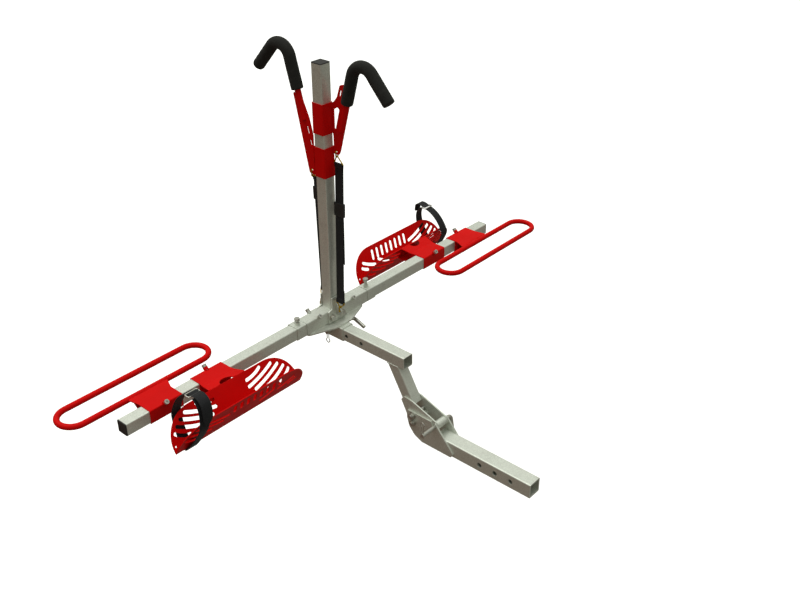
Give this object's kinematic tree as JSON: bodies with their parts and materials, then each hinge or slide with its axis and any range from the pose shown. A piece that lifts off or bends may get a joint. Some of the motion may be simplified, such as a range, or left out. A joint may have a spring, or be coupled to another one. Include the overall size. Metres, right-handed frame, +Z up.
{
  "type": "hitch mounted bike rack",
  "caption": "Tilting bicycle rack on a square hitch shank: crossbeam with sliding V trays and wheel hoops, and a mast with two strapped sliding hooks.",
  "frame": {"origin": "axis of the middle hitch pin hole of the shank, on the shank's centre line", "axes": "+Z up, -Y along the shank towards the vehicle, X along the crossbeam and along the hitch pin hole"},
  "size_m": [1.867, 1.0768, 1.1804],
  "materials": {
    "silver_coat": "fine sparkle silver powder coat over steel tube, slightly rough",
    "red_coat": "smooth satin red powder coat",
    "zinc_hardware": "zinc plated steel",
    "brass_wire": "yellow passivated wire",
    "black_foam": "closed cell foam, matt with fine pores",
    "black_webbing": "woven nylon webbing",
    "black_plastic": "moulded black plastic, fine grain"
  },
  "bodies": {
    "hitch": {"hitch_shank": "silver_coat", "hinge_plate_left": "silver_coat", "hinge_plate_right": "silver_coat", "pivot_bolt": "zinc_hardware", "tilt_stop_bolt": "zinc_hardware"},
    "rack_frame": {"riser_tube": "silver_coat", "riser_plate_left": "silver_coat", "riser_plate_right": "silver_coat", "pin_spacer": "silver_coat", "main_arm": "silver_coat", "cradle_sleeve": "silver_coat", "cradle_gusset": "silver_coat", "centre_beam": "silver_coat", "beam_collar_left": "silver_coat", "beam_collar_right": "silver_coat", "collar_bolts": "zinc_hardware", "beam_set_screws": "zinc_hardware", "mast_bracket_front": "silver_coat", "mast_bracket_rear": "silver_coat", "bracket_bolts": "zinc_hardware", "mast": "silver_coat", "mast_cap": "black_plastic", "lower_ring_left": "brass_wire", "lower_ring_right": "brass_wire"},
    "lock_pin": {"lock_pin": "zinc_hardware"},
    "lock_pin_clip": {"lock_pin_clip": "zinc_hardware"},
    "cradle_pin": {"cradle_pin": "zinc_hardware"},
    "cradle_pin_clip": {"cradle_pin_clip": "zinc_hardware"},
    "hook_left": {"hook_bracket_left": "red_coat", "hook_tube_left": "red_coat", "foam_grip_left": "black_foam", "upper_ring_left": "brass_wire", "strap_webbing_left": "black_webbing", "strap_keeper_left": "black_plastic"},
    "arm_left": {"arm_left": "silver_coat", "arm_cap_left": "black_plastic"},
    "tray_left": {"tray_bracket_left": "red_coat", "tray_left": "red_coat", "tray_clamp_screw_left": "zinc_hardware", "wheel_strap_left": "black_webbing", "wheel_strap_buckle_left": "zinc_hardware"},
    "hoop_left": {"hoop_bracket_left": "red_coat", "hoop_left": "red_coat", "hoop_clamp_screw_left": "zinc_hardware"},
    "hook_right": {"hook_bracket_right": "red_coat", "hook_tube_right": "red_coat", "foam_grip_right": "black_foam", "upper_ring_right": "brass_wire", "strap_webbing_right": "black_webbing", "strap_keeper_right": "black_plastic"},
    "arm_right": {"arm_right": "silver_coat", "arm_cap_right": "black_plastic"},
    "tray_right": {"tray_bracket_right": "red_coat", "tray_right": "red_coat", "tray_clamp_screw_right": "zinc_hardware", "wheel_strap_right": "black_webbing", "wheel_strap_buckle_right": "zinc_hardware"},
    "hoop_right": {"hoop_bracket_right": "red_coat", "hoop_right": "red_coat", "hoop_clamp_screw_right": "zinc_hardware"}
  },
  "joints": [
    {"name": "tilt", "type": "hinge", "parent": "hitch", "child": "rack_frame", "pos_m": [0, 0.315, 0.037], "axis": [-1, 0, 0], "range_deg": [0, 40]},
    {"name": "lock_pin_slide", "type": "slide", "parent": "rack_frame", "child": "lock_pin", "axis": [1, 0, 0], "range_m": [-0.008, 0.045]},
    {"name": "lock_clip_pull", "type": "slide", "parent": "lock_pin", "child": "lock_pin_clip", "axis": [0, 0, 1], "range_m": [0, 0.034]},
    {"name": "cradle_pin_slide", "type": "slide", "parent": "rack_frame", "child": "cradle_pin", "axis": [1, 0, 0], "range_m": [-0.04, 0.008]},
    {"name": "cradle_clip_pull", "type": "slide", "parent": "cradle_pin", "child": "cradle_pin_clip", "axis": [0, 0, -1], "range_m": [0, 0.034]},
    {"name": "arm_right_slide", "type": "slide", "parent": "rack_frame", "child": "arm_right", "axis": [1, 0, 0], "range_m": [-0.04, 0.06]},
    {"name": "tray_right_slide", "type": "slide", "parent": "arm_right", "child": "tray_right", "axis": [1, 0, 0], "range_m": [-0.15, 0.025]},
    {"name": "hoop_right_slide", "type": "slide", "parent": "arm_right", "child": "hoop_right", "axis": [1, 0, 0], "range_m": [-0.025, 0.05]},
    {"name": "arm_left_slide", "type": "slide", "parent": "rack_frame", "child": "arm_left", "axis": [-1, 0, 0], "range_m": [-0.04, 0.06]},
    {"name": "tray_left_slide", "type": "slide", "parent": "arm_left", "child": "tray_left", "axis": [-1, 0, 0], "range_m": [-0.15, 0.025]},
    {"name": "hoop_left_slide", "type": "slide", "parent": "arm_left", "child": "hoop_left", "axis": [-1, 0, 0], "range_m": [-0.025, 0.05]},
    {"name": "hook_right_slide", "type": "slide", "parent": "rack_frame", "child": "hook_right", "axis": [0, 0, 1], "range_m": [-0.02, 0.1], "deforming": ["strap_webbing_right"]},
    {"name": "hook_left_slide", "type": "slide", "parent": "rack_frame", "child": "hook_left", "axis": [0, 0, 1], "range_m": [-0.22, 0.015], "deforming": ["strap_webbing_left"]}
  ]
}
